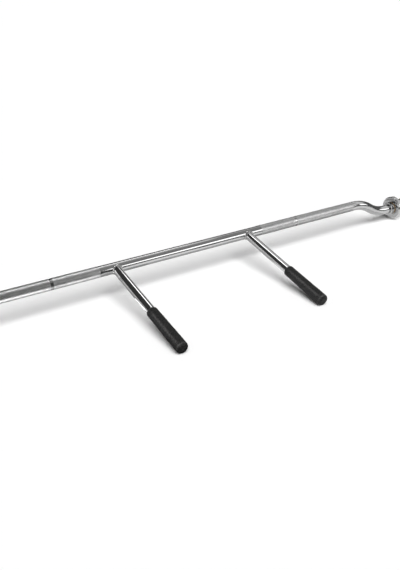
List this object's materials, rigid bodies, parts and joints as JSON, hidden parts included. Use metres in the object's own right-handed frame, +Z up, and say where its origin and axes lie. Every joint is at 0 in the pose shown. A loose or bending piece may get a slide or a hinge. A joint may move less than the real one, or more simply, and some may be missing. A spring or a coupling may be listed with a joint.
{
  "type": "safety squat bar",
  "caption": "Cambered chrome barbell with forward handles welded square to a knurled shaft, rubber grips, and turning plate sleeves on dropped ends.",
  "frame": {"origin": "centre of the bounding box in X and Y, on the floor that the bar lies on", "axes": "+X along the shaft, left end to right end as pictured; -Y the way the handles reach; +Z up, the bar lying on its flanges and grip tips"},
  "size_m": [2.3902, 0.3968, 0.0997],
  "materials": {
    "chrome": "bright hard chrome, mirror smooth, satin on the knurled lengths",
    "chromed_weld": "chromed weld bead, slightly rippled",
    "grip_rubber": "moulded black rubber, dull sheen",
    "bearing_bronze": "oiled sintered bronze",
    "spring_steel": "blackened spring steel"
  },
  "bodies": {
    "bar": {"shaft": "chrome", "left_handle_tube": "chrome", "right_handle_tube": "chrome", "left_handle_weld": "chromed_weld", "right_handle_weld": "chromed_weld", "left_grip": "grip_rubber", "right_grip": "grip_rubber", "left_thrust_collar": "chrome", "right_thrust_collar": "chrome", "left_thrust_washer": "spring_steel", "right_thrust_washer": "spring_steel", "left_shaft_ring": "spring_steel", "right_shaft_ring": "spring_steel"},
    "left_sleeve": {"left_sleeve_tube": "chrome", "left_sleeve_flange": "chrome", "left_inboard_bushing": "bearing_bronze", "left_outboard_bushing": "bearing_bronze", "left_end_cap": "chrome", "left_end_cap_ring": "spring_steel"},
    "right_sleeve": {"right_sleeve_tube": "chrome", "right_sleeve_flange": "chrome", "right_inboard_bushing": "bearing_bronze", "right_outboard_bushing": "bearing_bronze", "right_end_cap": "chrome", "right_end_cap_ring": "spring_steel"}
  },
  "joints": [
    {"name": "left_sleeve_spin", "type": "hinge", "parent": "bar", "child": "left_sleeve", "pos_m": [-1.021, 0.15944, 0.039], "axis": [1, 0, 0], "continuous": true},
    {"name": "right_sleeve_spin", "type": "hinge", "parent": "bar", "child": "right_sleeve", "pos_m": [1.021, 0.15944, 0.039], "axis": [1, 0, 0], "continuous": true}
  ]
}
